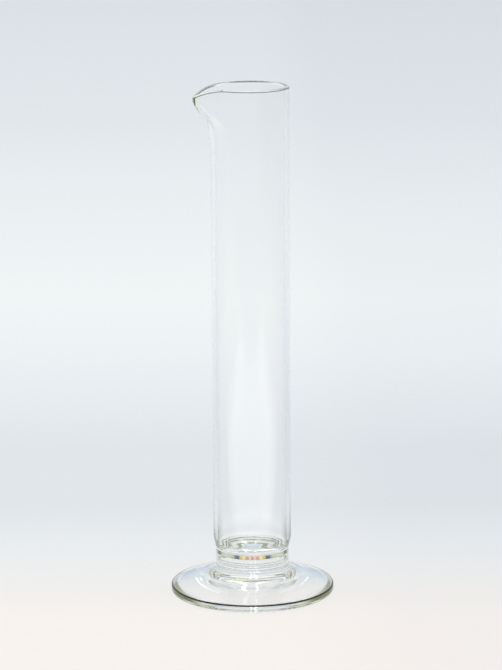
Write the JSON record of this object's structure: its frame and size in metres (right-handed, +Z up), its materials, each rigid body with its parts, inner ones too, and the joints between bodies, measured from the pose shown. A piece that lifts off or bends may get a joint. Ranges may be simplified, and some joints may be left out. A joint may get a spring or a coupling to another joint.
{
  "type": "hydrometer jar",
  "caption": "Tall plain glass cylinder with a pouring spout and a thick closed bottom, fused on a broad round glass foot.",
  "frame": {"origin": "centre of the foot, on the surface that the object stands on", "axes": "+Z up along the tube's axis; the spout points along -X; +Y completes the right-handed frame"},
  "size_m": [0.105, 0.105, 0.328],
  "materials": {
    "tube_glass": "clear drawn laboratory glass, smooth, fire-polished rim",
    "foot_glass": "clear pressed glass, smooth and slightly wavy, rounded edge"
  },
  "bodies": {
    "root": {"vessel": "tube_glass", "foot": "foot_glass"}
  },
  "joints": []
}
